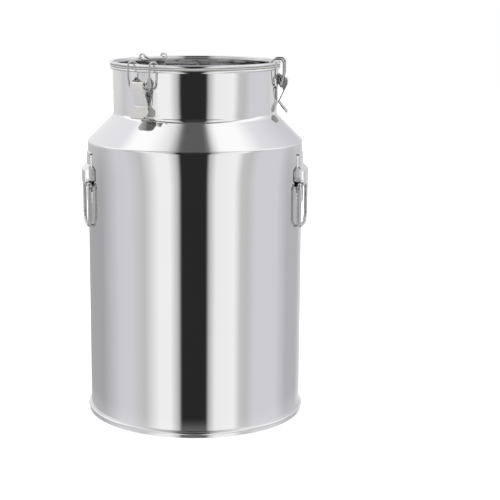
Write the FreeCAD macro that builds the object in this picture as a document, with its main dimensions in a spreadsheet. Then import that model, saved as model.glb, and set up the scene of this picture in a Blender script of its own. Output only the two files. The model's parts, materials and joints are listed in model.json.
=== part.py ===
"""Stainless steel milk can with a latched lid and two side rings.

Frame: +Z up, origin on the floor at the centre of the foot ring, -Y towards the front,
midway between the two side rings. Millimetres and degrees throughout.

Pieces near the neck or on the body wall are drawn in a local frame whose +X points
straight out of the can, then turned about the can's axis to their own azimuth.
"""

import FreeCAD, Part
import math
import os

import Sketcher

# --------------------------------------------------------------------------------------
# Driving dimensions
# --------------------------------------------------------------------------------------

DIMENSIONS = {
    # sheet metal shells
    "wall": 1.2,
    "body_radius": 162.5,
    "body_bottom": 2.0,
    "body_top": 415.0,
    "shoulder_edge": 418.0,
    "shoulder_edge_round": 2.5,
    "neck_radius": 123.5,
    "neck_start": 461.0,
    "neck_blend": 8.0,
    # base
    "pan_height": 11.0,
    "pan_crown": 4.0,
    "foot_radius": 165.2,
    "foot_lip": 160.1,
    "foot_bead_radius": 2.4,
    "foot_bead_height": 6.6,
    "foot_bead_out": 164.1,
    # rim, gasket and lid
    "rim_start": 525.0,
    "bead_radius": 2.2,
    "neck_bead_out": 125.6,
    "gasket_thickness": 2.7,
    "gasket_inner": 122.9,
    "gasket_outer": 127.0,
    "lid_bead_out": 126.1,
    "lid_plug_radius": 121.7,
    "lid_floor": 512.5,
    "lid_floor_round": 7.0,
    "lid_lip_round": 2.0,
    "lid_boss_radius": 72.0,
    "lid_boss_rise": 3.0,
    "lid_boss_slope": 6.0,
    # folding handle on the lid
    "lid_rod": 2.5,
    "lid_clip_width": 24.0,
    "lid_clip_sheet": 1.5,
    "lid_clip_foot": 13.0,
    "lid_ring_width": 58.0,
    "lid_ring_reach": 40.0,
    "lid_ring_corner": 10.0,
    # side handles
    "clip_sheet": 2.0,
    "clip_width": 42.0,
    "clip_bottom": 327.0,
    "clip_top": 402.5,
    "clip_out": 9.8,
    "clip_corner": 8.0,
    "tunnel_bottom": 350.0,
    "tunnel_top": 384.0,
    "tunnel_slope": 8.0,
    "ring_rod": 2.8,
    "ring_out": 3.2,
    "ring_hinge_height": 359.2,
    "ring_width": 62.0,
    "ring_drop": 65.2,
    "ring_top_corner": 9.0,
    "ring_low_corner": 16.0,
    # latch base, in the local frame
    "base_sheet": 1.2,
    "base_bottom": 472.0,
    "base_top": 524.5,
    "base_half_top": 23.0,
    "base_half_low": 15.8,
    "base_taper_start": 512.0,
    "base_taper_end": 500.0,
    "base_corner": 11.0,
    "ear_inner": 12.3,
    "ear_sheet": 1.5,
    "ear_foot": 123.0,
    "ear_foot_low": 501.5,
    "ear_foot_high": 519.0,
    "ear_round": 4.7,
    # latch pivots
    "pivot_out": 6.8,
    "pivot_height": 509.5,
    "throw": 8.0,
    "dead_centre_angle": 3.0,
    "pin_radius": 2.0,
    "pin_head_radius": 3.5,
    "pin_head": 1.2,
    "running_gap": 0.06,
    # lever
    "lever_sheet": 1.5,
    "lever_half_width": 11.5,
    "lever_tab_half": 16.0,
    "lever_tab_corner": 8.0,
    "lever_curl_radius": 1.9,
    "lever_curl_bore": 0.8,
    "lever_curl_out": 13.0,
    "lever_curl_height": 510.4,
    "lever_shoulder_out": 15.0,
    "lever_shoulder_height": 503.5,
    "lever_knee_out": 2.7,
    "lever_knee_height": 477.0,
    "lever_tip_out": 15.5,
    "lever_tip_height": 460.5,
    "lever_flange": 1.3,
    # bail
    "wire": 1.5,
    "bail_half_width": 19.5,
    "bail_bend": 6.5,
}

# azimuths about the can's axis, measured from -Y towards +X
LATCHES = {"front": -35.5, "right": 84.5, "rear": -146.5}
SIDE_HANDLES = {"right": 77.5, "left": -77.5}

ALMOST = 1e-3
THROUGH = 400.0


class Size:
    """A length: the expression that the document keeps, and its number today."""

    def __init__(self, text, value):
        self.text = text
        self.value = value

    @staticmethod
    def of(other):
        if isinstance(other, Size):
            return other
        return Size(f"{float(other)} mm", float(other))

    def __add__(self, other):
        other = Size.of(other)
        return Size(f"({self.text} + {other.text})", self.value + other.value)

    def __sub__(self, other):
        other = Size.of(other)
        return Size(f"({self.text} - {other.text})", self.value - other.value)

    def __neg__(self):
        return Size(f"(0 mm - {self.text})", -self.value)

    def __mul__(self, factor):
        return Size(f"({self.text} * {float(factor)})", self.value * factor)


class Dimensions:
    """The sheet's cells as attributes: size.wall is the cell named wall."""

    def __init__(self, sheet, numbers):
        for row, (alias, number) in enumerate(numbers.items(), start=1):
            sheet.set(f"A{row}", alias)
            sheet.set(f"B{row}", str(number))
            sheet.setAlias(f"B{row}", alias)
            setattr(self, alias, Size(f"Sheet.{alias} * 1 mm", number))


document = FreeCAD.newDocument("milk_can")
sheet = document.addObject("Spreadsheet::Sheet", "Sheet")
size = Dimensions(sheet, DIMENSIONS)
document.recompute()

parts = {}


# --------------------------------------------------------------------------------------
# Helpers for bodies, sketches and features
# --------------------------------------------------------------------------------------


def turned_to(azimuth):
    """The placement that turns local +X to an azimuth about the can's axis."""
    return FreeCAD.Placement(
        FreeCAD.Vector(), FreeCAD.Rotation(FreeCAD.Vector(0, 0, 1), azimuth - 90.0)
    )


def new_body(name, azimuth=None):
    body = document.addObject("PartDesign::Body", name)
    body.Label = name
    if azimuth is not None:
        body.Placement = turned_to(azimuth)
    parts[name] = body
    return body


def origin_of(body, role):
    return next(item for item in body.Origin.OriginFeatures if item.Role == role)


def new_sketch(body, name, plane, offset=None):
    """A sketch on one of the body's own planes, moved along its normal by offset."""
    sketch = body.newObject("Sketcher::SketchObject", name)
    sketch.AttachmentSupport = [(origin_of(body, plane), "")]
    sketch.MapMode = "FlatFace"
    if offset is not None:
        sketch.AttachmentOffset = FreeCAD.Placement(
            FreeCAD.Vector(0, 0, offset.value), FreeCAD.Rotation()
        )
        sketch.setExpression("AttachmentOffset.Base.z", offset.text)
    return sketch


def fix_point(sketch, geometry, position, point):
    """Bind a sketch point's two distances from the origin to their expressions."""
    for kind, length in zip(("DistanceX", "DistanceY"), point):
        length = Size.of(length)
        index = sketch.addConstraint(
            Sketcher.Constraint(kind, -1, 1, geometry, position, length.value)
        )
        sketch.setExpression(f"Constraints[{index}]", length.text)


def draw_outline(sketch, points):
    """A closed outline through the points."""
    corners = [
        FreeCAD.Vector(Size.of(across).value, Size.of(up).value, 0)
        for across, up in points
    ]
    first = sketch.GeometryCount
    for number, corner in enumerate(corners):
        following = corners[(number + 1) % len(corners)]
        sketch.addGeometry(Part.LineSegment(corner, following), False)
    for number, point in enumerate(points):
        line = first + number
        following = first + (number + 1) % len(points)
        sketch.addConstraint(Sketcher.Constraint("Coincident", line, 2, following, 1))
        fix_point(sketch, line, 1, point)


def draw_circle(sketch, centre, radius):
    middle = FreeCAD.Vector(Size.of(centre[0]).value, Size.of(centre[1]).value, 0)
    circle = sketch.addGeometry(
        Part.Circle(middle, FreeCAD.Vector(0, 0, 1), radius.value), False
    )
    fix_point(sketch, circle, 3, centre)
    index = sketch.addConstraint(Sketcher.Constraint("Radius", circle, radius.value))
    sketch.setExpression(f"Constraints[{index}]", radius.text)


def revolve(body, sketch, angle=360.0):
    """Turn a sketch about the can's axis, evenly to both sides of its plane."""
    feature = body.newObject("PartDesign::Revolution", f"{sketch.Name}_turned")
    feature.Profile = sketch
    feature.ReferenceAxis = (origin_of(body, "Z_Axis"), [""])
    feature.Angle = angle
    feature.Midplane = angle < 360.0
    return feature


def pad(body, sketch, length, symmetric=True):
    feature = body.newObject("PartDesign::Pad", f"{sketch.Name}_pad")
    feature.Profile = sketch
    feature.SideType = "Symmetric" if symmetric else "One side"
    feature.Length = length.value
    feature.setExpression("Length", length.text)
    return feature


def cut_through(body, sketch):
    """Cut a sketch through the body both ways, and check that it took something away."""
    document.recompute()
    before = body.Shape.Volume
    feature = body.newObject("PartDesign::Pocket", f"{sketch.Name}_cut")
    feature.Profile = sketch
    feature.SideType = "Symmetric"
    feature.Length = THROUGH
    document.recompute()
    if body.Shape.Volume > before - ALMOST:
        raise RuntimeError(f"{sketch.Name} cuts nothing")
    return feature


def round_edges(body, name, radius, wanted):
    """Fillet the edges for which wanted(edge) is true."""
    document.recompute()
    base = body.Tip
    names = [
        f"Edge{number}"
        for number, edge in enumerate(base.Shape.Edges, start=1)
        if wanted(edge)
    ]
    if not names:
        raise RuntimeError(f"{name} finds no edge")
    feature = body.newObject("PartDesign::Fillet", name)
    feature.Base = (base, names)
    feature.Radius = radius.value
    feature.setExpression("Radius", radius.text)
    document.recompute()
    if "Invalid" in feature.State:
        raise RuntimeError(f"{name} cannot be rounded by {radius.value} mm")
    return feature


def hoop(radius, height):
    """Picks the circular edges about the can's axis with this radius and height."""

    def wanted(edge):
        curve = edge.Curve
        return (
            isinstance(curve, Part.Circle)
            and abs(curve.Radius - radius.value) < ALMOST
            and abs(curve.Center.z - height.value) < ALMOST
            and math.hypot(curve.Center.x, curve.Center.y) < ALMOST
        )

    return wanted


def shell_of_revolution(name, outline, beads=(), rounds=()):
    """A round sheet-metal piece: one outline, rolled beads, and rounded bends."""
    body = new_body(name)
    sketch = new_sketch(body, f"{name}_outline", "XZ_Plane")
    draw_outline(sketch, outline)
    revolve(body, sketch)
    for number, (out, height, radius) in enumerate(beads, start=1):
        section = new_sketch(body, f"{name}_bead_{number}", "XZ_Plane")
        draw_circle(section, (out, height), radius)
        revolve(body, section)
    for number, (radius, out, height) in enumerate(rounds, start=1):
        round_edges(body, f"{name}_round_{number}", radius, hoop(out, height))
    return body


# --------------------------------------------------------------------------------------
# Bent round wire and rod
# --------------------------------------------------------------------------------------


def bent_wire(points, bend_radii, rod_radius, closed=False):
    """A round rod along straight runs joined by tangent bends, one radius for each point."""
    count = len(points)
    runs = []
    bends = []
    inner = range(count) if closed else range(1, count - 1)
    ends = {}
    for number in inner:
        corner = points[number]
        back = (points[number - 1] - corner).normalize()
        ahead = (points[(number + 1) % count] - corner).normalize()
        half_angle = back.getAngle(ahead) / 2.0
        bend_radius = bend_radii[number]
        reach = bend_radius / math.tan(half_angle)
        middle_way = (back + ahead).normalize()
        to_arc = bend_radius / math.sin(half_angle) - bend_radius
        start = corner + back * reach
        finish = corner + ahead * reach
        bends.append(Part.Arc(start, corner + middle_way * to_arc, finish).toShape())
        ends[number] = (start, finish)
    last = count if closed else count - 1
    for number in range(last):
        following = (number + 1) % count
        start = ends[number][1] if number in ends else points[number]
        finish = ends[following][0] if following in ends else points[following]
        runs.append(Part.LineSegment(start, finish).toShape())
    path = Part.Wire(Part.__sortEdges__(runs + bends))
    start = runs[0].Vertexes[0].Point
    along = runs[0].Vertexes[1].Point - start
    section = Part.Wire([Part.makeCircle(rod_radius, start, along)])
    rod = path.makePipeShell([section], True, False)
    expected = math.pi * rod_radius**2 * path.Length
    if abs(rod.Volume / expected - 1.0) > 0.02:
        raise RuntimeError("a rod's volume is not its section times its length")
    return rod


def add_rod(name, shape, azimuth=None):
    feature = document.addObject("Part::Feature", name)
    feature.Label = name
    feature.Shape = shape
    if azimuth is not None:
        feature.Placement = turned_to(azimuth)
    parts[name] = feature


# --------------------------------------------------------------------------------------
# Can body
# --------------------------------------------------------------------------------------


def make_can():
    wall = size.wall
    inside = size.body_radius - wall
    neck_inside = size.neck_radius - wall
    cone_top = size.shoulder_edge + size.body_radius - size.neck_radius
    bend_shift = wall * math.tan(math.radians(22.5))
    bead_tall = size.bead_radius * 2
    rim_top = size.rim_start + bead_tall

    shell_of_revolution(
        "foot_ring",
        [
            (size.foot_lip, 0),
            (size.foot_radius, 0),
            (size.foot_radius, size.foot_bead_height),
            (size.body_radius, size.foot_bead_height),
            (size.body_radius, size.body_bottom),
            (size.foot_lip, size.body_bottom),
        ],
        beads=[(size.foot_bead_out, size.foot_bead_height, size.foot_bead_radius)],
    )
    # the bead's section reaches into the wall's place, so the wall's bore is cut again
    ring = parts["foot_ring"]
    bore = new_sketch(ring, "foot_ring_bore", "XZ_Plane")
    draw_outline(
        bore,
        [
            (size.foot_lip - 5, size.body_bottom),
            (size.body_radius, size.body_bottom),
            (size.body_radius, size.pan_height + 5),
            (size.foot_lip - 5, size.pan_height + 5),
        ],
    )
    groove = ring.newObject("PartDesign::Groove", "foot_ring_bore_turned")
    groove.Profile = bore
    groove.ReferenceAxis = (origin_of(ring, "Z_Axis"), [""])
    groove.Angle = 360.0

    shell_of_revolution(
        "base_pan",
        [
            (0, size.pan_height + size.pan_crown),
            (inside, size.pan_height),
            (inside, size.pan_height - wall),
            (0, size.pan_height + size.pan_crown - wall),
        ],
    )
    shell_of_revolution(
        "body_shell",
        [
            (inside, size.body_bottom),
            (size.body_radius, size.body_bottom),
            (size.body_radius, size.body_top),
            (inside, size.body_top),
        ],
    )
    shell_of_revolution(
        "shoulder_cone",
        [
            (inside, size.body_top),
            (size.body_radius, size.body_top),
            (size.body_radius, size.shoulder_edge),
            (size.neck_radius, cone_top),
            (size.neck_radius, size.neck_start),
            (neck_inside, size.neck_start),
            (neck_inside, cone_top - bend_shift),
            (inside, size.shoulder_edge - bend_shift),
        ],
        rounds=[
            (size.shoulder_edge_round, size.body_radius, size.shoulder_edge),
            (size.neck_blend, size.neck_radius, cone_top),
        ],
    )
    shell_of_revolution(
        "neck",
        [
            (neck_inside, size.neck_start),
            (size.neck_radius, size.neck_start),
            (size.neck_radius, size.rim_start),
            (size.neck_bead_out, size.rim_start),
            (size.neck_bead_out, rim_top),
            (neck_inside, rim_top),
        ],
        beads=[(size.neck_bead_out, size.rim_start + size.bead_radius, size.bead_radius)],
        rounds=[(wall - 0.2, neck_inside, rim_top)],
    )


# --------------------------------------------------------------------------------------
# Lid
# --------------------------------------------------------------------------------------


def make_lid():
    wall = size.wall
    rim_top = size.rim_start + size.bead_radius * 2
    flange = rim_top + size.gasket_thickness
    plug_inside = size.lid_plug_radius - wall
    floor = size.lid_floor
    boss_foot = size.lid_boss_radius + size.lid_boss_slope

    shell_of_revolution(
        "lid_gasket",
        [
            (size.gasket_inner, rim_top),
            (size.gasket_outer, rim_top),
            (size.gasket_outer, flange),
            (size.gasket_inner, flange),
        ],
    )
    shell_of_revolution(
        "lid_pan",
        [
            (0, floor + size.lid_boss_rise),
            (size.lid_boss_radius, floor + size.lid_boss_rise),
            (boss_foot, floor),
            (plug_inside, floor),
            (plug_inside, flange + wall),
            (size.lid_bead_out, flange + wall),
            (size.lid_bead_out, flange),
            (size.lid_plug_radius, flange),
            (size.lid_plug_radius, floor - wall),
            (boss_foot, floor - wall),
            (size.lid_boss_radius, floor + size.lid_boss_rise - wall),
            (0, floor + size.lid_boss_rise - wall),
        ],
        beads=[(size.lid_bead_out, flange + size.bead_radius, size.bead_radius)],
        rounds=[
            (size.lid_floor_round, size.lid_plug_radius, floor - wall),
            (size.lid_floor_round - wall, plug_inside, floor),
            (size.lid_lip_round, plug_inside, flange + wall),
        ],
    )


def make_lid_handle():
    """A strap bridge on the lid's raised centre, and the rod ring folded flat under it."""
    top = size.lid_floor + size.lid_boss_rise
    strap = size.lid_clip_sheet
    gap = 0.4
    tunnel_half = size.lid_rod + 1.0
    tunnel_top = top + size.lid_rod * 2 + 2 * gap
    slope = 3.0

    body = new_body("lid_handle_clip")
    section = new_sketch(body, "lid_clip_section", "XZ_Plane")
    outer = [
        (tunnel_half + slope + size.lid_clip_foot, top),
        (tunnel_half + slope + size.lid_clip_foot, top + strap),
        (tunnel_half + slope + strap * 0.5, top + strap),
        (tunnel_half + strap * 0.5, tunnel_top + strap),
    ]
    inner = [(tunnel_half, tunnel_top), (tunnel_half + slope, top)]
    mirrored_outer = [(-across, up) for across, up in reversed(outer)]
    mirrored_inner = [(-across, up) for across, up in reversed(inner)]
    draw_outline(section, outer + mirrored_outer + mirrored_inner + inner)
    pad(body, section, size.lid_clip_width)

    hinge_height = top.value + size.lid_rod.value + gap
    half = size.lid_ring_width.value / 2.0
    reach = size.lid_ring_reach.value
    loop = [
        FreeCAD.Vector(0, -half, hinge_height),
        FreeCAD.Vector(0, half, hinge_height),
        FreeCAD.Vector(reach, half, hinge_height),
        FreeCAD.Vector(reach, -half, hinge_height),
    ]
    add_rod(
        "lid_handle_ring",
        bent_wire(loop, [size.lid_ring_corner.value] * 4, size.lid_rod.value, closed=True),
    )


# --------------------------------------------------------------------------------------
# Side handles
# --------------------------------------------------------------------------------------


def make_side_handle(name, azimuth):
    """A hat-shaped clip welded to the wall, and the ring that hangs in its tunnel."""
    radius = size.body_radius
    sheet_out = radius + size.clip_sheet
    hat_out = radius + size.clip_out
    hat_inside = hat_out - size.clip_sheet
    slope = size.tunnel_slope
    lean = size.clip_sheet * 0.4
    body = new_body(f"handle_clip_{name}", azimuth)
    section = new_sketch(body, f"clip_section_{name}", "XZ_Plane")
    draw_outline(
        section,
        [
            (radius, size.clip_bottom),
            (sheet_out, size.clip_bottom),
            (sheet_out, size.tunnel_bottom - lean),
            (hat_out, size.tunnel_bottom + slope - lean),
            (hat_out, size.tunnel_top - slope + lean),
            (sheet_out, size.tunnel_top + lean),
            (sheet_out, size.clip_top),
            (radius, size.clip_top),
            (radius, size.tunnel_top),
            (hat_inside, size.tunnel_top - slope),
            (hat_inside, size.tunnel_bottom + slope),
            (radius, size.tunnel_bottom),
        ],
    )
    half_angle = math.degrees(math.asin(size.clip_width.value / 2.0 / radius.value))
    revolve(body, section, 2.0 * half_angle)

    def end_corner(edge):
        box = edge.BoundBox
        at_end = (
            abs(box.ZMin - size.clip_bottom.value) < ALMOST
            or abs(box.ZMin - size.clip_top.value) < ALMOST
        )
        across = edge.Vertexes[-1].Point - edge.Vertexes[0].Point
        is_radial = abs(edge.Length - size.clip_sheet.value) < ALMOST
        return at_end and box.ZLength < ALMOST and is_radial and across.x > 0.5

    round_edges(body, f"clip_corners_{name}", size.clip_corner, end_corner)

    out = radius.value + size.ring_out.value
    half = size.ring_width.value / 2.0
    top = size.ring_hinge_height.value
    bottom = top - size.ring_drop.value
    loop = [
        FreeCAD.Vector(out, -half, top),
        FreeCAD.Vector(out, half, top),
        FreeCAD.Vector(out, half, bottom),
        FreeCAD.Vector(out, -half, bottom),
    ]
    bends = [size.ring_top_corner.value] * 2 + [size.ring_low_corner.value] * 2
    rod = bent_wire(loop, bends, size.ring_rod.value, closed=True)
    add_rod(f"handle_ring_{name}", rod, azimuth)


# --------------------------------------------------------------------------------------
# Latches
# --------------------------------------------------------------------------------------


def bail_pivot():
    """Where the bail hangs in the lever: one throw from the pivot, past dead centre."""
    lean = math.radians(size.dead_centre_angle.value)
    out = size.neck_radius + size.pivot_out - size.throw * math.sin(lean)
    height = size.pivot_height - size.throw * math.cos(lean)
    return out, height


def make_latch_base(name, azimuth):
    """A curved plate welded under the rim, with two ears that carry the pin."""
    body = new_body(f"latch_base_{name}", azimuth)
    back = size.neck_radius
    front = back + size.base_sheet
    section = new_sketch(body, f"base_section_{name}", "XZ_Plane")
    draw_outline(
        section,
        [
            (back, size.base_bottom),
            (front, size.base_bottom),
            (front, size.base_top),
            (back, size.base_top),
        ],
    )
    half_angle = math.degrees(math.asin((size.base_half_top.value + 1) / back.value))
    revolve(body, section, 2.0 * half_angle)

    waste = new_sketch(body, f"base_outline_{name}", "YZ_Plane")
    wide = size.base_half_top * 2
    for side in (1, -1):
        draw_outline(
            waste,
            [
                (size.base_half_low * side, size.base_bottom - 5),
                (size.base_half_low * side, size.base_taper_end),
                (size.base_half_top * side, size.base_taper_start),
                (size.base_half_top * side, size.base_top + 5),
                (wide * side, size.base_top + 5),
                (wide * side, size.base_bottom - 5),
            ],
        )
    cut_through(body, waste)

    def bottom_corner(edge):
        box = edge.BoundBox
        return (
            box.ZLength < ALMOST
            and abs(box.ZMin - size.base_bottom.value) < ALMOST
            and box.XLength > 1.0
            and box.YLength < 0.5
        )

    round_edges(body, f"base_corners_{name}", size.base_corner, bottom_corner)

    pivot = (back + size.pivot_out, size.pivot_height)
    ears_at = {
        "near": -(size.ear_inner + size.ear_sheet),
        "far": size.ear_inner,
    }
    for side, offset in ears_at.items():
        ear = new_sketch(body, f"ear_{side}_{name}", "XZ_Plane", offset)
        draw_outline(
            ear,
            [
                (size.ear_foot, size.ear_foot_low),
                (pivot[0], pivot[1] - size.ear_round),
                (pivot[0], pivot[1] + size.ear_round),
                (size.ear_foot, size.ear_foot_high),
            ],
        )
        pad(body, ear, size.ear_sheet, symmetric=False)
        eye = new_sketch(body, f"ear_eye_{side}_{name}", "XZ_Plane", offset)
        draw_circle(eye, pivot, size.ear_round)
        pad(body, eye, size.ear_sheet, symmetric=False)
    bore = new_sketch(body, f"ear_bore_{name}", "XZ_Plane")
    draw_circle(bore, pivot, size.pin_radius)
    cut_through(body, bore)


def make_latch_pin(name, azimuth):
    """A rivet across the two ears, with a rounded head on each side."""
    body = new_body(f"latch_pin_{name}", azimuth)
    pivot = (size.neck_radius + size.pivot_out, size.pivot_height)
    outside = size.ear_inner + size.ear_sheet
    shank = new_sketch(body, f"pin_shank_{name}", "XZ_Plane")
    draw_circle(shank, pivot, size.pin_radius)
    pad(body, shank, outside * 2)
    for side, offset in (("near", -(outside + size.pin_head)), ("far", outside)):
        head = new_sketch(body, f"pin_head_{side}_{name}", "XZ_Plane", offset)
        draw_circle(head, pivot, size.pin_head_radius)
        pad(body, head, size.pin_head, symmetric=False)
    end = outside + size.pin_head

    def rim_of_head(edge):
        curve = edge.Curve
        return (
            isinstance(curve, Part.Circle)
            and abs(curve.Radius - size.pin_head_radius.value) < ALMOST
            and abs(abs(edge.BoundBox.YMin) - end.value) < ALMOST
        )

    round_edges(body, f"pin_rounds_{name}", size.pin_head * 0.6, rim_of_head)


def make_latch_lever(name, azimuth):
    """A pressed lever: plate, flared finger tab, rolled top edge and two side flanges."""
    body = new_body(f"latch_lever_{name}", azimuth)
    neck = size.neck_radius
    half = size.lever_sheet * 0.5
    knee = (neck + size.lever_knee_out, size.lever_knee_height)
    shoulder = (neck + size.lever_shoulder_out, size.lever_shoulder_height)
    tip = (neck + size.lever_tip_out, size.lever_tip_height)
    curl = (neck + size.lever_curl_out, size.lever_curl_height)
    strip = new_sketch(body, f"lever_strip_{name}", "XZ_Plane")
    draw_outline(
        strip,
        [
            (shoulder[0] + half, curl[1]),
            (shoulder[0] + half, shoulder[1] - half * 0.5),
            (knee[0] + half * 1.4, knee[1]),
            (tip[0] + half, tip[1] + half),
            (tip[0] - half * 0.6, tip[1] - half),
            (knee[0] - half, knee[1] - half * 0.6),
            (knee[0] - half, knee[1] + half * 0.6),
            (shoulder[0] - half, shoulder[1] + half * 0.5),
            (shoulder[0] - half, curl[1]),
        ],
    )
    pad(body, strip, size.lever_tab_half * 2)

    waste = new_sketch(body, f"lever_outline_{name}", "YZ_Plane")
    waist = knee[1] - 1.0
    widest = knee[1] - 6.0
    for side in (1, -1):
        draw_outline(
            waste,
            [
                (size.lever_half_width * side, curl[1] + 5),
                (size.lever_half_width * side, waist),
                (size.lever_tab_half * side, widest),
                (size.lever_tab_half * (1.5 * side), widest),
                (size.lever_tab_half * (1.5 * side), curl[1] + 5),
            ],
        )
    cut_through(body, waste)

    def tab_corner(edge):
        box = edge.BoundBox
        return box.YLength < ALMOST and box.ZMax < tip[1].value + half.value + ALMOST

    round_edges(body, f"tab_corners_{name}", size.lever_tab_corner, tab_corner)

    roll = new_sketch(body, f"lever_roll_{name}", "XZ_Plane")
    draw_circle(roll, curl, size.lever_curl_radius)
    pad(body, roll, size.lever_half_width * 2)

    pivot = (neck + size.pivot_out, size.pivot_height)
    hung = bail_pivot()
    flange_outside = size.lever_half_width - 0.1
    flanges_at = {
        "near": -flange_outside,
        "far": flange_outside - size.lever_flange,
    }
    for side, offset in flanges_at.items():
        flange = new_sketch(body, f"lever_flange_{side}_{name}", "XZ_Plane", offset)
        draw_outline(
            flange,
            [
                (shoulder[0], curl[1]),
                (shoulder[0], shoulder[1]),
                (knee[0] + 7.5, knee[1] + 16),
                (hung[0] + 1.5, hung[1] - 3.4),
                (hung[0] - 1.5, hung[1] - 3.0),
                (hung[0] - 3.0, hung[1] + 0.5),
                (pivot[0] - 4.2, pivot[1] + 0.5),
                (pivot[0] - 2.8, pivot[1] + 3.2),
                (pivot[0] + 1.0, pivot[1] + 3.6),
                (curl[0], curl[1] + size.lever_curl_radius * 0.6),
            ],
        )
        pad(body, flange, size.lever_flange, symmetric=False)
    holes = new_sketch(body, f"lever_holes_{name}", "XZ_Plane")
    draw_circle(holes, pivot, size.pin_radius + size.running_gap)
    draw_circle(holes, hung, size.wire + size.running_gap)
    draw_circle(holes, curl, size.lever_curl_bore)
    cut_through(body, holes)


def make_latch_bail(name, azimuth):
    """A bail of one wire: ends turned into the lever, legs over the rim, and a crossbar."""
    neck = size.neck_radius.value
    hung_out, hung_height = bail_pivot()
    wide = size.bail_half_width.value
    end = size.lever_half_width.value - size.lever_flange.value - 1.0
    leg = [
        (hung_out.value, hung_height.value),
        (neck + 10.3, 519.5),
        (neck + 10.3, 540.0),
        (neck - 3.0, 540.0),
        (neck - 11.0, 533.8),
    ]
    points = [FreeCAD.Vector(leg[0][0], -end, leg[0][1])]
    points += [FreeCAD.Vector(out, -wide, height) for out, height in leg]
    points += [FreeCAD.Vector(out, wide, height) for out, height in reversed(leg)]
    points += [FreeCAD.Vector(leg[0][0], end, leg[0][1])]
    wire = bent_wire(points, [size.bail_bend.value] * len(points), size.wire.value)
    add_rod(f"latch_bail_{name}", wire, azimuth)


# --------------------------------------------------------------------------------------
# Assembly, checks and files
# --------------------------------------------------------------------------------------

make_can()
make_lid()
make_lid_handle()
for side, azimuth in SIDE_HANDLES.items():
    make_side_handle(side, azimuth)
for place, azimuth in LATCHES.items():
    make_latch_base(place, azimuth)
    make_latch_pin(place, azimuth)
    make_latch_lever(place, azimuth)
    make_latch_bail(place, azimuth)

document.recompute()
for item in document.Objects:
    if "Invalid" in item.State or "Error" in item.State:
        raise RuntimeError(f"{item.Label} did not recompute: {item.State}")
for name, item in parts.items():
    if item.Shape.isNull() or not item.Shape.isValid():
        raise RuntimeError(f"{name} has no valid shape")
    if len(item.Shape.Solids) != 1:
        raise RuntimeError(f"{name} is {len(item.Shape.Solids)} solids, not one")

os.makedirs("parts", exist_ok=True)
for name, item in parts.items():
    item.Shape.exportStep(f"parts/{name}.step")
    box = item.Shape.BoundBox
    print(
        f"{name}: {item.Shape.Volume:.0f} mm3, "
        f"x {box.XMin:.1f}..{box.XMax:.1f}, "
        f"y {box.YMin:.1f}..{box.YMax:.1f}, "
        f"z {box.ZMin:.1f}..{box.ZMax:.1f}"
    )
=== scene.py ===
"""Looks of the stainless steel milk can: polished shells, pressed latches, rings, gasket and studio.

Metres, in the can's own frame: +Z up, the origin on the floor at the centre of the foot ring,
-Y towards the front. The round shells are turned anew from fine outlines, so that their mirror
finish is smooth; every other CAD node keeps its own mesh and gets its finish here.
"""

import json
import math

import bpy
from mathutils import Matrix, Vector


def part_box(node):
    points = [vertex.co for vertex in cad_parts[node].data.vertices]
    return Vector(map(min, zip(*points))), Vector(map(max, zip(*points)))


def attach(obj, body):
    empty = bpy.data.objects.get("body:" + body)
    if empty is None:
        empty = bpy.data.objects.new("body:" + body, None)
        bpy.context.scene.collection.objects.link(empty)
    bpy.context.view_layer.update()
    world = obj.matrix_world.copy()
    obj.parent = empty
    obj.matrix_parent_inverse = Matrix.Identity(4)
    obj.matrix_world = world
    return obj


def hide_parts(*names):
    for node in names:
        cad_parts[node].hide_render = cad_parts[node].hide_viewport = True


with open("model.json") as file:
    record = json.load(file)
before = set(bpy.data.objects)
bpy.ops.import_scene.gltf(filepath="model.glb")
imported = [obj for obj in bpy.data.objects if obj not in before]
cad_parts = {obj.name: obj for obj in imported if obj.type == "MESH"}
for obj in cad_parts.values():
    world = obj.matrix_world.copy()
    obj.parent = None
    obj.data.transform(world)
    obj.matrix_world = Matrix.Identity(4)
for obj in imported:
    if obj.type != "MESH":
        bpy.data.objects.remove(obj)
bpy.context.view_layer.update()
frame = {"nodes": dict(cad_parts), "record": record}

# --------------------------------------------------------------------------------------
# Sizes that the frame's boxes don't give, in metres
# --------------------------------------------------------------------------------------

# shells
WALL = 0.0012
NECK_OUT = 0.1235
NECK_BLEND = 0.008
SHOULDER_EDGE = 0.003
SHOULDER_ROUND = 0.0025
SHOULDER_SHEET_DROP = 0.0005
RIM_BEAD = 0.0022
FOOT_WALL_OUT = 0.1652
FOOT_IN = 0.1601
FOOT_BEAD = 0.0024
# lid and gasket
GASKET_IN = 0.1229
PLUG_OUT = 0.1217
PLUG_ROUND = 0.007
LID_BOSS_RISE = 0.003
LID_LIP_ROUND = 0.002
BOSS_FOOT, BOSS_TOP = 0.078, 0.072
# height of the bend above a closed latch lever's finger tab; below it the lever's steel gets painted
# shade, a darker colour
LEVER_TAB_TOP = 0.476
# side handle clips and the fillet welds up their edges
CLIP_HALF = 0.021
CLIP_CORNER = 0.008
CLIP_UPPER_FLANGE, CLIP_LOWER_FLANGE = 0.02, 0.018
WELD_LEG = 0.0019
RIPPLE_STEP, RIPPLE = 0.0009, 0.07
WELD_TIP = 0.45
# the weld's section, as (outwards, away from the clip) in legs, sunk a little in the steel
WELD_SECTION = [
    (-0.15, -0.1),
    (-0.15, 1.0),
    (0.05, 1.0),
    (0.42, 0.62),
    (0.75, 0.3),
    (1.0, -0.1),
]
# fineness of the turned shells: points around, arc steps, held edges and sharp angles
AROUND = 288
ARC_STEP = math.radians(10.0)
HOLD = 0.00025
SHARP = math.radians(50.0)

# --------------------------------------------------------------------------------------
# Camera
# --------------------------------------------------------------------------------------

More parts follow.
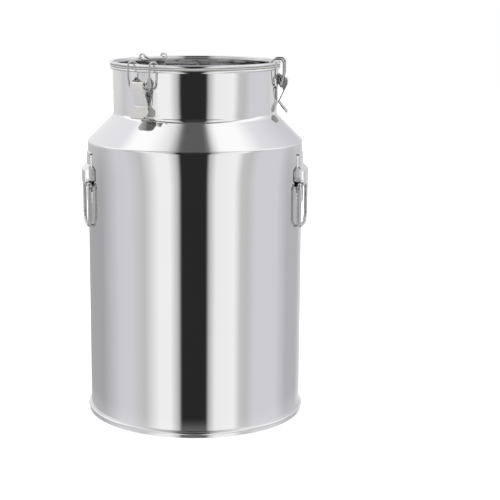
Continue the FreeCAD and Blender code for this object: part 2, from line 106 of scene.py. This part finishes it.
CAMERA_AZIMUTH = math.radians(1.5)
CAMERA_DISTANCE = 2.0173
CAMERA_HEIGHT = 0.6584
CAMERA_PITCH = math.radians(11.55)
CAMERA_LENS_MM = 96.1
CAMERA_SENSOR_MM = 36.0
CAMERA_SHIFT_X = 0.1096

# --------------------------------------------------------------------------------------
# Studio: bands of light and shade around the can, as display levels from 0 to 1.
# Azimuths are in degrees from the studio's own front, a little to the +X side of -Y.
# --------------------------------------------------------------------------------------

STUDIO_FRONT = math.radians(3.0)
STEEL_SHINE = 0.86
LAVENDER = (0.985, 0.98, 1.0)
NEUTRAL = (1.0, 1.0, 1.0)
DARK = 0.155
WALL_BANDS = [
    (-180, 0.78, NEUTRAL),
    (-165, 0.64, NEUTRAL),
    (-120, 0.65, LAVENDER),
    (-90, 0.81, LAVENDER),
    (-75, 0.82, LAVENDER),
    (-57, 0.74, NEUTRAL),
    (-40, 0.94, NEUTRAL),
    (-28, 0.94, NEUTRAL),
    (-19, 0.70, NEUTRAL),
    (-16, 0.20, NEUTRAL),
    (-14, DARK, NEUTRAL),
    (8, DARK, NEUTRAL),
    (10, 0.20, NEUTRAL),
    (13, 0.70, NEUTRAL),
    (20, 0.92, NEUTRAL),
    (40, 0.94, NEUTRAL),
    (48, 0.76, NEUTRAL),
    (55, 0.74, NEUTRAL),
    (65, 0.82, LAVENDER),
    (95, 0.82, LAVENDER),
    (115, 0.71, LAVENDER),
    (140, 0.70, LAVENDER),
    (165, 0.86, LAVENDER),
    (180, 0.78, NEUTRAL),
]
UPPER_BANDS = [
    (-180, 0.89, NEUTRAL),
    (-125, 0.90, LAVENDER),
    (-115, 1.0, NEUTRAL),
    (-100, 0.99, NEUTRAL),
    (-80, 0.88, NEUTRAL),
    (-60, 0.42, NEUTRAL),
    (-50, 0.345, NEUTRAL),
    (38, 0.345, NEUTRAL),
    (50, 0.45, NEUTRAL),
    (65, 0.88, NEUTRAL),
    (75, 0.99, NEUTRAL),
    (100, 0.99, NEUTRAL),
    (115, 0.89, LAVENDER),
    (140, 0.82, LAVENDER),
    (155, 0.79, LAVENDER),
    (180, 0.89, NEUTRAL),
]
# the upper studio starts at this elevation behind the can, and much higher in front of it
UPPER_FROM, UPPER_SOFT = 0.0, 4.0
FRONT_REACH, FRONT_END, FRONT_RISE = 35.0, 95.0, 56.0
# above this elevation the lower bands spread a little wider about the front
SPREAD_FROM, SPREAD_UNTIL, SPREAD = -9.0, -5.0, 0.26
# cards, the last of them bright, as (middle azimuth, half width, soft edge, lower fade,
# lowest, highest, upper fade, level): a tall one behind the camera, a low one level with
# the lid's recess and a broad one behind the can
CARDS = [
    (-2.0, 13.0, 3.0, 1.0, -3.0, 34.0, 26.0, 0.20),
    (-8.0, 30.0, 22.0, 1.0, 1.0, 7.0, 3.0, 0.17),
    (180.0, 44.0, 30.0, 5.0, -4.5, 0.0, 1.0, 0.83),
]
# the floor shows faintly in the steel as far as the first distance, and fades by the second
FLOOR_SHOWS, FLOOR_FADES, FLOOR_SHARE = 0.168, 0.25, 0.12
FLOOR_HALF = 6.0
BACKDROP_LEVEL = 1.0
SOFT_LIGHT_LEVEL = 1.75


# --------------------------------------------------------------------------------------
# Node tree helpers
# --------------------------------------------------------------------------------------


class Tree:
    """Short calls that add shader nodes and link them."""

    def __init__(self, tree):
        self.tree = tree
        tree.nodes.clear()

    def add(self, kind, **settings):
        node = self.tree.nodes.new(kind)
        for name, value in settings.items():
            setattr(node, name, value)
        return node

    def feed(self, socket, value):
        if isinstance(value, bpy.types.NodeSocket):
            self.tree.links.new(value, socket)
        else:
            socket.default_value = value

    def math(self, operation, *values, clamp=False):
        node = self.add("ShaderNodeMath", operation=operation, use_clamp=clamp)
        for socket, value in zip(node.inputs, values):
            self.feed(socket, value)
        return node.outputs[0]

    def spread(self, value, low, high, to_low=0.0, to_high=1.0, smooth=False):
        node = self.add("ShaderNodeMapRange", clamp=True)
        if smooth:
            node.interpolation_type = "SMOOTHSTEP"
        for name, number in (
            ("Value", value),
            ("From Min", low),
            ("From Max", high),
            ("To Min", to_low),
            ("To Max", to_high),
        ):
            self.feed(node.inputs[name], number)
        return node.outputs[0]

    def scaled(self, vector, factors):
        node = self.add("ShaderNodeVectorMath", operation="MULTIPLY")
        self.feed(node.inputs[0], vector)
        self.feed(node.inputs[1], factors)
        return node.outputs[0]

    def noise(self, vector, scale, detail=2.0, roughness=0.5):
        node = self.add("ShaderNodeTexNoise")
        self.feed(node.inputs["Vector"], vector)
        self.feed(node.inputs["Scale"], scale)
        self.feed(node.inputs["Detail"], detail)
        self.feed(node.inputs["Roughness"], roughness)
        return node.outputs[0]

    def mix(self, factor, first, second):
        node = self.add("ShaderNodeMix", data_type="RGBA")
        self.feed(node.inputs["Factor"], factor)
        self.feed(node.inputs[6], first)
        self.feed(node.inputs[7], second)
        return node.outputs[2]

    def bump(self, height, strength, distance, normal=None):
        node = self.add("ShaderNodeBump")
        self.feed(node.inputs["Height"], height)
        self.feed(node.inputs["Strength"], strength)
        self.feed(node.inputs["Distance"], distance)
        if normal is not None:
            self.feed(node.inputs["Normal"], normal)
        return node.outputs[0]


def linear(level):
    """The light that shows as this display level."""
    if level <= 0.04045:
        return level / 12.92
    return ((level + 0.055) / 1.055) ** 2.4


# --------------------------------------------------------------------------------------
# Materials
# --------------------------------------------------------------------------------------

# steel: drifting tint, handling marks, and the bump of its lines and waves
DRIFT_SCALE, DRIFT_DARKEST = 9.0, 0.965
MARK_SCALE, MARKS_FROM, MARKS_UNTIL = 38.0, 0.52, 0.74
LINES_FROM, LINES_UNTIL, LINE_CONTRAST = 0.3, 0.7, 0.25
LINE_BUMP = 0.35
WAVE_SCALES = (5.0, 5.0, 3.0)
# painted shade as a darker steel colour, with its soft edge, and the partly matt milk side
PAINTED_SHADE, PAINTED_SHADE_FADE = 0.62, 0.0008
INSIDE_METAL, INSIDE_ROUGH = 0.8, 0.22


def new_material(name):
    material = bpy.data.materials.new(name)
    material.use_nodes = True
    return material, Tree(material.node_tree)


def finish_surface(tree, **inputs):
    surface = tree.add("ShaderNodeBsdfPrincipled")
    for name, value in inputs.items():
        tree.feed(surface.inputs[name.replace("_", " ")], value)
    output = tree.add("ShaderNodeOutputMaterial")
    tree.feed(output.inputs["Surface"], surface.outputs[0])


def about_axis(tree, place):
    """Position as distance from the can's axis, nothing, and height: rings are level lines."""
    parts = tree.add("ShaderNodeSeparateXYZ")
    tree.feed(parts.inputs[0], place)
    across, away, up = parts.outputs
    squares = (tree.math("MULTIPLY", across, across), tree.math("MULTIPLY", away, away))
    joined = tree.add("ShaderNodeCombineXYZ")
    tree.feed(joined.inputs[0], tree.math("SQRT", tree.math("ADD", *squares)))
    tree.feed(joined.inputs[2], up)
    return joined.outputs[0]


def steel(
    name,
    colour,
    roughness,
    lines,
    line_depth,
    wave_depth=0.0,
    smudge=0.03,
    spun=False,
    painted_shade_within=0.0,
    metal=1.0,
    painted_shade_below=0.0,
):
    """Stainless steel: a tint that drifts, polishing lines, handling marks and waves.

    Spun steel has its lines in rings. Steel can get painted shade, a darker colour, within a
    distance of the axis, and below a height.
    """
    material, tree = new_material(name)
    place = tree.add("ShaderNodeTexCoord").outputs["Object"]
    drift = tree.noise(place, DRIFT_SCALE, 3.0)
    darker = tuple(channel * DRIFT_DARKEST for channel in colour)
    tint = tree.mix(drift, (*darker, 1.0), (*colour, 1.0))
    grain = about_axis(tree, place) if spun else place
    painted_shade_tint = tuple(channel * PAINTED_SHADE for channel in colour)
    parts = tree.add("ShaderNodeSeparateXYZ")
    tree.feed(parts.inputs[0], grain)
    across, _, up = parts.outputs
    # painted shade: the steel colour is darker within the given distance of the axis and below the
    # given height
    for limit, place_along in ((painted_shade_within, across), (painted_shade_below, up)):
        if limit:
            beyond = tree.spread(place_along, limit - PAINTED_SHADE_FADE, limit + PAINTED_SHADE_FADE)
            tint = tree.mix(beyond, (*painted_shade_tint, 1.0), tint)
    along = tree.noise(tree.scaled(grain, lines), 1.0, 4.0, 0.65)
    marks = tree.noise(place, MARK_SCALE, 5.0, 0.6)
    marked = tree.spread(marks, MARKS_FROM, MARKS_UNTIL, 0.0, smudge)
    smoothest = roughness * (1.0 - LINE_CONTRAST)
    roughest = roughness * (1.0 + LINE_CONTRAST)
    lined = tree.spread(along, LINES_FROM, LINES_UNTIL, smoothest, roughest)
    rough = tree.math("ADD", lined, marked)
    normal = tree.bump(along, LINE_BUMP, line_depth)
    if wave_depth:
        waves = tree.noise(tree.scaled(place, WAVE_SCALES), 1.0, 1.0)
        normal = tree.bump(waves, 1.0, wave_depth, normal)
    inside = tree.add("ShaderNodeAttribute", attribute_name="inside").outputs["Fac"]
    finish_surface(
        tree,
        Base_Color=tint,
        Metallic=tree.spread(inside, 0.0, 1.0, metal, INSIDE_METAL),
        Roughness=tree.math("ADD", rough, tree.math("MULTIPLY", inside, INSIDE_ROUGH)),
        Normal=normal,
    )
    return material


def silicone(name, colour):
    """Matt white rubber with a faint grain and a little dust."""
    material, tree = new_material(name)
    place = tree.add("ShaderNodeTexCoord").outputs["Object"]
    grain = tree.noise(place, 900.0, 2.0)
    dust = tree.spread(tree.noise(place, 60.0, 4.0), 0.45, 0.8)
    shade = tuple(channel * 0.9 for channel in colour)
    finish_surface(
        tree,
        Base_Color=tree.mix(dust, (*colour, 1.0), (*shade, 1.0)),
        Roughness=tree.spread(grain, 0.3, 0.7, 0.45, 0.6),
        Normal=tree.bump(grain, 0.2, 0.00005),
    )
    return material


def make_materials():
    rings = (700.0, 0.0, 900.0)
    every_way = (420.0, 420.0, 420.0)
    bright = (STEEL_SHINE, STEEL_SHINE, STEEL_SHINE * 1.003)
    return {
        "polished_steel": steel(
            "polished_steel", bright, 0.03, rings, 0.0000008, 0.00003, 0.012, True
        ),
        "spun_steel": steel(
            "spun_steel", bright, 0.055, rings, 0.000001, 0.00002, 0.015, True
        ),
        # the lid's steel gets painted shade, a darker colour, inside the plug's radius, in the lid's
        # recess
        "lid_steel": steel(
            "lid_steel", bright, 0.05, rings, 0.0000008, 0.0, 0.01, True, PLUG_OUT
        ),
        "pressed_steel": steel(
            "pressed_steel",
            (0.88, 0.88, 0.882),
            0.14,
            (60.0, 60.0, 700.0),
            0.000003,
            metal=0.96,
        ),
        # the latch levers' finger tabs, below their bend, get painted shade: a darker steel colour
        "satin_steel": steel(
            "satin_steel",
            (0.85, 0.84, 0.815),
            0.24,
            (500.0, 500.0, 40.0),
            0.000003,
            metal=0.93,
            painted_shade_below=LEVER_TAB_TOP,
        ),
        # the rods' darker steel colour is painted shade, standing in for the dark reflections along
        # the wires
        "steel_rod": steel("steel_rod", (0.62, 0.62, 0.623), 0.07, every_way, 0.000002),
        "weld": steel("weld", (0.86, 0.855, 0.84), 0.3, every_way, 0.00001, metal=0.7),
        "gasket": silicone("gasket", (0.36, 0.36, 0.35)),
    }


# --------------------------------------------------------------------------------------
# Turned shells
# --------------------------------------------------------------------------------------


def bend(centre, radius, start, turn):
    """Points of an arc in the outline's plane, from a start angle through a turn."""
    steps = max(2, math.ceil(abs(math.radians(turn)) / ARC_STEP))
    angles = [math.radians(start + turn * step / steps) for step in range(steps + 1)]
    return [
        (centre[0] + radius * math.cos(angle), centre[1] + radius * math.sin(angle))
        for angle in angles
    ]


def held(outline):
    """The outline with a point just inside each end of its long runs, to hold their shading."""
    result = []
    for index, point in enumerate(outline):
        following = outline[(index + 1) % len(outline)]
        run = math.dist(point, following)
        result.append(tuple(point))
        if run > 8.0 * HOLD:
            for share in (HOLD / run, 1.0 - HOLD / run):
                result.append(
                    tuple(a + (b - a) * share for a, b in zip(point, following))
                )
    return result


def turned(name, outline, finish, body, replaced, milk_side=None):
    """A solid of revolution about the can's axis, riding in place of a CAD node.

    Faces that look towards milk_side, given as (outwards, upwards), are matt inside.
    """
    outline = held(outline)
    area = sum(a[0] * b[1] - b[0] * a[1] for a, b in zip(outline, outline[1:] + outline[:1]))
    if area < 0.0:
        outline.reverse()
    on_axis = [index for index, (out, _) in enumerate(outline) if out < 1e-6]
    vertices = []
    rows = []
    for index, (out, height) in enumerate(outline):
        if index in on_axis:
            rows.append([len(vertices)] * AROUND)
            vertices.append((0.0, 0.0, height))
            continue
        rows.append(list(range(len(vertices), len(vertices) + AROUND)))
        for step in range(AROUND):
            angle = 2.0 * math.pi * step / AROUND
            vertices.append((out * math.cos(angle), out * math.sin(angle), height))
    faces = []
    for index in range(len(outline)):
        following = (index + 1) % len(outline)
        if index in on_axis and following in on_axis:
            continue
        for step in range(AROUND):
            ahead = (step + 1) % AROUND
            corners = [
                rows[index][step],
                rows[index][ahead],
                rows[following][ahead],
                rows[following][step],
            ]
            faces.append(list(dict.fromkeys(corners)))
    mesh = bpy.data.meshes.new(name)
    mesh.from_pydata(vertices, [], faces)
    mesh.shade_smooth()
    mesh.set_sharp_from_angle(angle=SHARP)
    if milk_side:
        mark = mesh.attributes.new("inside", "FLOAT", "FACE")
        for face in mesh.polygons:
            out = Vector((face.center.x, face.center.y, 0.0)).normalized()
            facing = milk_side.x * face.normal.dot(out) + milk_side.y * face.normal.z
            mark.data[face.index].value = float(facing > 0.5)
    piece = bpy.data.objects.new(name, mesh)
    bpy.context.scene.collection.objects.link(piece)
    mesh.materials.append(MATERIALS[finish])
    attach(piece, body)
    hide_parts(replaced)
    return piece


def eased(outline, corners):
    """The outline with the numbered corners rounded to the radii given for them."""
    result = []
    for index, point in enumerate(outline):
        if index not in corners:
            result.append(point)
            continue
        size = corners[index]
        here = Vector(point)
        back = (Vector(outline[index - 1]) - here).normalized()
        ahead = (Vector(outline[(index + 1) % len(outline)]) - here).normalized()
        half = back.angle(ahead) / 2.0
        centre = here + (back + ahead).normalized() * (size / math.sin(half))
        first = here + back * (size / math.tan(half)) - centre
        left_turn = back.x * ahead.y - back.y * ahead.x < 0.0
        sweep = math.degrees(math.pi - 2.0 * half)
        start = math.degrees(math.atan2(first.y, first.x))
        result.extend(bend(centre, size, start, sweep if left_turn else -sweep))
    return result


def make_shells():
    """The seven round pieces, each from an outline given as (distance from axis, height)."""
    to_axis, upwards = Vector((-1.0, 0.0)), Vector((0.0, 1.0))
    body_low, body_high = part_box("body_shell")
    body_out = body_high.x
    inside = body_out - WALL
    turned(
        "turned_body",
        [
            (inside, body_low.z),
            (body_out, body_low.z),
            (body_out, body_high.z),
            (inside, body_high.z),
        ],
        "polished_steel",
        "can",
        "body_shell",
        to_axis,
    )

    cone_low, cone_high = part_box("shoulder_cone")
    edge = cone_low.z + SHOULDER_EDGE
    turn_in = cone_high.z - (edge + body_out - NECK_OUT)
    cone = [
        (inside, cone_low.z),
        (body_out, cone_low.z),
        (body_out, edge),
        (NECK_OUT, cone_high.z - turn_in),
        (NECK_OUT, cone_high.z),
        (NECK_OUT - WALL, cone_high.z),
        (NECK_OUT - WALL, cone_high.z - turn_in - SHOULDER_SHEET_DROP),
        (inside, edge - SHOULDER_SHEET_DROP),
    ]
    rounds = {2: SHOULDER_ROUND, 3: NECK_BLEND, 6: NECK_BLEND + WALL}
    turned(
        "turned_shoulder",
        eased(cone, rounds),
        "spun_steel",
        "can",
        "shoulder_cone",
        to_axis,
    )

    neck_low, neck_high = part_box("neck")
    rim = neck_high.x - RIM_BEAD
    neck = [
        (NECK_OUT - WALL, neck_low.z),
        (NECK_OUT, neck_low.z),
        (NECK_OUT, neck_high.z - 2.0 * RIM_BEAD),
    ]
    neck += bend((rim, neck_high.z - RIM_BEAD), RIM_BEAD, -90.0, 180.0)
    neck += [(NECK_OUT - WALL, neck_high.z)]
    turned("turned_neck", neck, "polished_steel", "can", "neck", to_axis)

    foot_low, foot_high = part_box("foot_ring")
    bead = (foot_high.x - FOOT_BEAD, foot_high.z - FOOT_BEAD)
    lowest = -math.degrees(math.acos((FOOT_WALL_OUT - bead[0]) / FOOT_BEAD))
    inmost = math.degrees(math.acos((body_out - bead[0]) / FOOT_BEAD))
    foot = [(FOOT_IN, foot_low.z), (FOOT_WALL_OUT, foot_low.z)]
    foot += bend(bead, FOOT_BEAD, lowest, inmost - lowest)
    foot += [(body_out, body_low.z), (FOOT_IN, body_low.z)]
    turned("turned_foot", foot, "polished_steel", "can", "foot_ring")

    gasket_low, gasket_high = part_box("lid_gasket")
    swell = (gasket_high.z - gasket_low.z) / 2.0
    gasket = [(GASKET_IN, gasket_high.z), (GASKET_IN, gasket_low.z)]
    gasket += bend(
        (gasket_high.x - swell / 2.0, gasket_low.z + swell), swell, -60.0, 120.0
    )
    turned("turned_gasket", gasket, "gasket", "lid", "lid_gasket")

    lid_low, lid_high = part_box("lid_pan")
    floor = lid_low.z + WALL
    flange = lid_high.z - 2.0 * RIM_BEAD
    plug_in = PLUG_OUT - WALL
    bead = (lid_high.x - RIM_BEAD, lid_high.z - RIM_BEAD)
    over_sheet = math.degrees(math.asin((RIM_BEAD - WALL) / RIM_BEAD))
    lid = [
        (0.0, floor + LID_BOSS_RISE),
        (BOSS_TOP, floor + LID_BOSS_RISE),
        (BOSS_FOOT, floor),
        (plug_in, floor),
        (plug_in, flange + WALL),
    ]
    lid += bend(bead, RIM_BEAD, 180.0 + over_sheet, -270.0 - over_sheet)
    lid += [
        (PLUG_OUT, flange),
        (PLUG_OUT, lid_low.z),
        (BOSS_FOOT, lid_low.z),
        (BOSS_TOP, lid_low.z + LID_BOSS_RISE),
        (0.0, lid_low.z + LID_BOSS_RISE),
    ]
    rounds = {
        3: PLUG_ROUND - WALL,
        4: LID_LIP_ROUND,
        len(lid) - 4: PLUG_ROUND,
    }
    turned("turned_lid", eased(lid, rounds), "lid_steel", "lid", "lid_pan")

    pan_low, pan_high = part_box("base_pan")
    pan = [
        (0.0, pan_high.z - WALL),
        (inside, pan_low.z),
        (inside, pan_low.z + WALL),
        (0.0, pan_high.z),
    ]
    turned("turned_base", pan, "polished_steel", "can", "base_pan", upwards)


# --------------------------------------------------------------------------------------
# Welds
# --------------------------------------------------------------------------------------


def weld_bead(name, azimuth, side, low, high):
    """A rippled fillet up one edge of a side handle's clip, where it meets the wall."""
    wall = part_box("body_shell")[1].x
    slant = azimuth + side * math.asin(CLIP_HALF / wall)
    out = Vector((math.sin(slant), -math.cos(slant), 0.0))
    along = Vector((math.cos(slant), math.sin(slant), 0.0)) * side
    count = round((high - low) / RIPPLE_STEP)
    vertices = []
    for step in range(count + 1):
        swell = WELD_LEG * (1.0 - RIPPLE + RIPPLE * math.cos(math.pi * step))
        swell *= WELD_TIP if step in (0, count) else 1.0
        middle = out * wall + Vector((0.0, 0.0, low + (high - low) * step / count))
        for lift, reach in WELD_SECTION:
            vertices.append(middle + out * (swell * lift) + along * (swell * reach))
    points = len(WELD_SECTION)
    faces = [tuple(range(points)), tuple(range(count * points, (count + 1) * points))]
    for step in range(count):
        for point in range(points):
            corner = step * points + point
            following = step * points + (point + 1) % points
            faces.append((corner, following, following + points, corner + points))
    mesh = bpy.data.meshes.new(name)
    mesh.from_pydata(vertices, [], faces)
    mesh.validate()
    mesh.shade_smooth()
    bead = bpy.data.objects.new(name, mesh)
    bpy.context.scene.collection.objects.link(bead)
    mesh.materials.append(MATERIALS["weld"])
    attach(bead, "can")


def make_welds():
    joints = {joint["name"]: joint for joint in frame["record"]["behaviour"]["joints"]}
    for name in ("right", "left"):
        across, away, _ = joints[f"handle_ring_{name}_swing"]["pos_m"]
        azimuth = math.atan2(across, -away)
        low, high = (corner.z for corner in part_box(f"handle_clip_{name}"))
        for side in (-1, 1):
            edge = "front" if side * across < 0 else "rear"
            weld_bead(
                f"weld_{name}_{edge}_upper",
                azimuth,
                side,
                high - CLIP_UPPER_FLANGE,
                high - CLIP_CORNER / 4.0,
            )
            weld_bead(
                f"weld_{name}_{edge}_lower",
                azimuth,
                side,
                low + CLIP_CORNER / 4.0,
                low + CLIP_LOWER_FLANGE,
            )


# --------------------------------------------------------------------------------------
# Studio, floor and camera
# --------------------------------------------------------------------------------------


def band_ramp(tree, position, bands):
    ramp = tree.add("ShaderNodeValToRGB")
    elements = ramp.color_ramp.elements
    while len(elements) > 1:
        elements.remove(elements[-1])
    for number, (azimuth, level, tint) in enumerate(bands):
        place = (azimuth + 180.0) / 360.0
        element = elements[0] if number == 0 else elements.new(place)
        element.position = place
        glow = linear(level) / STEEL_SHINE
        element.color = (*(glow * linear(channel) for channel in tint), 1.0)
    tree.feed(ramp.inputs[0], position)
    return ramp.outputs[0]


def hang_card(tree, studio, turn, elevation, card):
    """The studio's light with a soft-edged card hung in it."""
    middle, half, edge, low_fade, low, high, high_fade, level = card
    offset = tree.math("SUBTRACT", turn, middle / 180.0)
    away = tree.math("ABSOLUTE", tree.math("WRAP", offset, 1.0, -1.0))
    degrees = tree.math("MULTIPLY", away, 180.0)
    beside = tree.spread(degrees, half, half + edge, 1.0, 0.0, smooth=True)
    over = tree.spread(elevation, low - low_fade, low, smooth=True)
    under = tree.spread(elevation, high, high + high_fade, 1.0, 0.0, smooth=True)
    share = tree.math("MULTIPLY", beside, tree.math("MULTIPLY", over, under))
    glow = linear(level) / STEEL_SHINE
    return tree.mix(share, studio, (glow, glow, glow, 1.0))


def make_studio():
    world = bpy.data.worlds.new("studio")
    world.use_nodes = True
    bpy.context.scene.world = world
    tree = Tree(world.node_tree)
    direction = tree.add("ShaderNodeTexCoord").outputs["Generated"]
    axes = tree.add("ShaderNodeSeparateXYZ")
    tree.feed(axes.inputs[0], direction)
    across, away, up = axes.outputs
    azimuth = tree.math("ARCTAN2", across, tree.math("MULTIPLY", away, -1.0))
    elevation = tree.math("DEGREES", tree.math("ARCSINE", up))
    turned_by = tree.math("SUBTRACT", azimuth, STUDIO_FRONT)
    turn = tree.math("WRAP", tree.math("DIVIDE", turned_by, math.pi), 1.0, -1.0)
    narrow = tree.spread(elevation, SPREAD_FROM, SPREAD_UNTIL, 0.0, SPREAD, smooth=True)
    room = tree.math("SUBTRACT", 1.0, tree.math("MULTIPLY", turn, turn))
    gathered = tree.math(
        "MULTIPLY", turn, tree.math("SUBTRACT", 1.0, tree.math("MULTIPLY", narrow, room))
    )
    lower = band_ramp(tree, tree.spread(gathered, -1.0, 1.0), WALL_BANDS)
    upper = band_ramp(tree, tree.spread(turn, -1.0, 1.0), UPPER_BANDS)
    aside = tree.math("MULTIPLY", tree.math("ABSOLUTE", turn), 180.0)
    rise = tree.spread(aside, FRONT_REACH, FRONT_END, FRONT_RISE, 0.0)
    height = tree.math("SUBTRACT", elevation, rise)
    above = tree.spread(height, UPPER_FROM - UPPER_SOFT, UPPER_FROM, smooth=True)
    studio = tree.mix(above, lower, upper)
    for card in CARDS:
        studio = hang_card(tree, studio, turn, elevation, card)
    rays = tree.add("ShaderNodeLightPath")
    soft = (SOFT_LIGHT_LEVEL, SOFT_LIGHT_LEVEL, SOFT_LIGHT_LEVEL, 1.0)
    plain = (BACKDROP_LEVEL, BACKDROP_LEVEL, BACKDROP_LEVEL, 1.0)
    lit = tree.mix(rays.outputs["Is Glossy Ray"], soft, studio)
    seen = tree.mix(rays.outputs["Is Camera Ray"], lit, plain)
    background = tree.add("ShaderNodeBackground")
    tree.feed(background.inputs["Color"], seen)
    output = tree.add("ShaderNodeOutputWorld")
    tree.feed(output.inputs["Surface"], background.outputs[0])
    scene = bpy.context.scene
    scene.view_settings.view_transform = "Standard"
    scene.view_settings.look = "None"


def make_floor():
    half = FLOOR_HALF
    mesh = bpy.data.meshes.new("floor")
    mesh.from_pydata(
        [(-half, -half, 0), (half, -half, 0), (half, half, 0), (-half, half, 0)],
        [],
        [(0, 1, 2, 3)],
    )
    floor = bpy.data.objects.new("floor", mesh)
    bpy.context.scene.collection.objects.link(floor)
    material, tree = new_material("floor")
    place = tree.add("ShaderNodeTexCoord").outputs["Object"]
    grain = tree.noise(place, 40.0, 3.0)
    parts = tree.add("ShaderNodeSeparateXYZ")
    tree.feed(parts.inputs[0], about_axis(tree, place))
    lost = tree.spread(
        parts.outputs[0], FLOOR_SHOWS, FLOOR_FADES, 1.0 - FLOOR_SHARE, 1.0, smooth=True
    )
    rays = tree.add("ShaderNodeLightPath")
    gone = tree.math("MULTIPLY", lost, rays.outputs["Is Glossy Ray"])
    finish_surface(
        tree,
        Base_Color=tree.mix(grain, (0.915, 0.915, 0.915, 1.0), (0.925, 0.925, 0.925, 1.0)),
        Roughness=0.9,
        Specular_IOR_Level=0.0,
        Alpha=tree.math("SUBTRACT", 1.0, gone),
    )
    mesh.materials.append(material)


def make_camera():
    data = bpy.data.cameras.new("camera")
    data.lens = CAMERA_LENS_MM
    data.sensor_width = CAMERA_SENSOR_MM
    data.shift_x = CAMERA_SHIFT_X
    data.clip_end = 50.0
    camera = bpy.data.objects.new("camera", data)
    bpy.context.scene.collection.objects.link(camera)
    camera.location = (
        CAMERA_DISTANCE * math.sin(CAMERA_AZIMUTH),
        -CAMERA_DISTANCE * math.cos(CAMERA_AZIMUTH),
        CAMERA_HEIGHT,
    )
    camera.rotation_euler = (math.radians(90.0) - CAMERA_PITCH, 0.0, CAMERA_AZIMUTH)
    bpy.context.scene.camera = camera


# --------------------------------------------------------------------------------------
# The whole scene
# --------------------------------------------------------------------------------------

MATERIALS = make_materials()
SLOTS = {entry["node"]: entry["material_slot"] for entry in frame["record"]["subparts"]}
for name, slot in SLOTS.items():
    node = frame["nodes"][name]
    for number in range(len(node.data.materials)):
        node.data.materials[number] = MATERIALS[slot]

make_shells()
make_welds()
make_studio()
make_floor()
make_camera()
